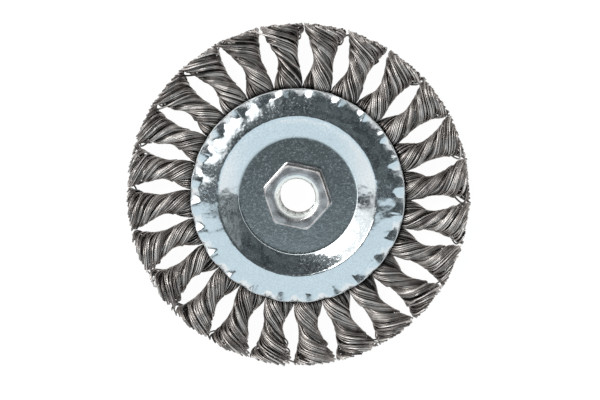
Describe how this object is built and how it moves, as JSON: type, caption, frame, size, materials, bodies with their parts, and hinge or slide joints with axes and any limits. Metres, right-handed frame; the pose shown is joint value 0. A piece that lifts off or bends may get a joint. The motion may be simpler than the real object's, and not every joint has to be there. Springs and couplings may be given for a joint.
{
  "type": "twisted wire wheel brush",
  "caption": "Wire wheel brush: knots of twisted steel wire held between dished, crimped steel flanges, with a threaded hexagon nut at the centre.",
  "frame": {"origin": "on the wheel's axis, half way between the two flanges", "axes": "+Z along the axis, out of the face with the hexagon; +Y is up in the picture; it lies on its knots' tips, below the origin"},
  "size_m": [0.1158, 0.1158, 0.0162],
  "materials": {
    "flange_zinc": "bright zinc-plated sheet",
    "ring_steel": "plain punched steel",
    "nut_zinc": "satin zinc-plated steel",
    "knot_wire": "dark drawn steel wire"
  },
  "bodies": {
    "root": {"front_plate": "flange_zinc", "back_plate": "flange_zinc", "knot_ring": "ring_steel", "arbor_nut": "nut_zinc", "knot_01": "knot_wire", "knot_02": "knot_wire", "knot_03": "knot_wire", "knot_04": "knot_wire", "knot_05": "knot_wire", "knot_06": "knot_wire", "knot_07": "knot_wire", "knot_08": "knot_wire", "knot_09": "knot_wire", "knot_10": "knot_wire", "knot_11": "knot_wire", "knot_12": "knot_wire", "knot_13": "knot_wire", "knot_14": "knot_wire", "knot_15": "knot_wire", "knot_16": "knot_wire", "knot_17": "knot_wire", "knot_18": "knot_wire", "knot_19": "knot_wire", "knot_20": "knot_wire", "knot_21": "knot_wire", "knot_22": "knot_wire", "knot_23": "knot_wire", "knot_24": "knot_wire"}
  },
  "joints": []
}
